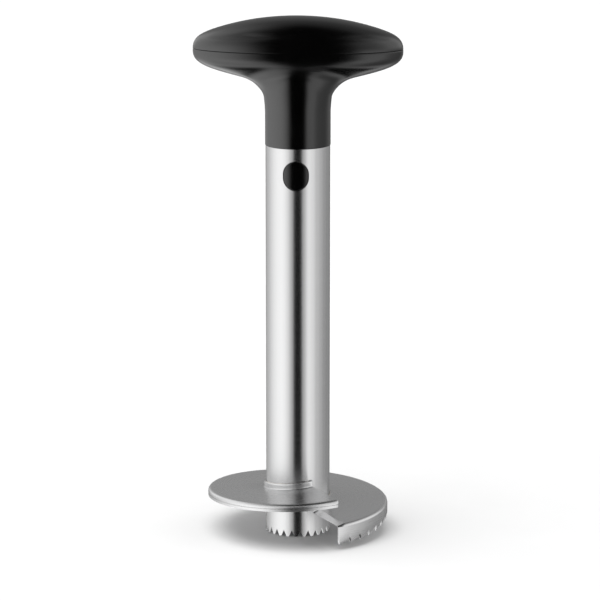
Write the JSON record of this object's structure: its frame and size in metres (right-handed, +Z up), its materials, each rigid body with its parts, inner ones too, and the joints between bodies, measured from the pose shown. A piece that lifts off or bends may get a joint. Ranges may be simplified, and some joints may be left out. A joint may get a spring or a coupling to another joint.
{
  "type": "pineapple slicer",
  "caption": "T-handled slicer: a toothed steel coring tube with a helical blade ring, and a grip whose plug locks into the tube with sprung release buttons.",
  "frame": {"origin": "on the tube's axis, in the plane of the tips of the tube's teeth", "axes": "+Z up the tube to the grip, X along the grip, -Y the front, where the visible button is"},
  "size_m": [0.0972, 0.085, 0.2443],
  "materials": {
    "steel": "satin stainless steel, brushed round the tube",
    "grip": "black, satin",
    "button": "black, satin",
    "plug": "black, plain moulded",
    "spring": "drawn wire",
    "screw": "zinc plated"
  },
  "bodies": {
    "tube": {"core_tube": "steel", "slicing_blade": "steel"},
    "handle": {"handle_body": "grip", "handle_cap": "grip", "lock_insert": "plug", "spring_carrier": "plug", "insert_screw_1": "screw", "insert_screw_2": "screw", "insert_screw_3": "screw", "insert_screw_4": "screw", "spring_front": "spring", "spring_rear": "spring"},
    "button_front": {"button_front": "button"},
    "button_rear": {"button_rear": "button"}
  },
  "joints": [
    {"name": "handle_lift", "type": "slide", "parent": "tube", "child": "handle", "axis": [0, 0, 1], "range_m": [0, 0.13]},
    {"name": "button_front_press", "type": "slide", "parent": "handle", "child": "button_front", "axis": [0, 1, 0], "range_m": [0, 0.0028], "stiffness_N_per_m": 400, "springref_m": -0.003, "deforming": ["spring_front"]},
    {"name": "button_rear_press", "type": "slide", "parent": "handle", "child": "button_rear", "axis": [0, -1, 0], "range_m": [0, 0.0028], "stiffness_N_per_m": 400, "springref_m": -0.003, "deforming": ["spring_rear"]}
  ]
}
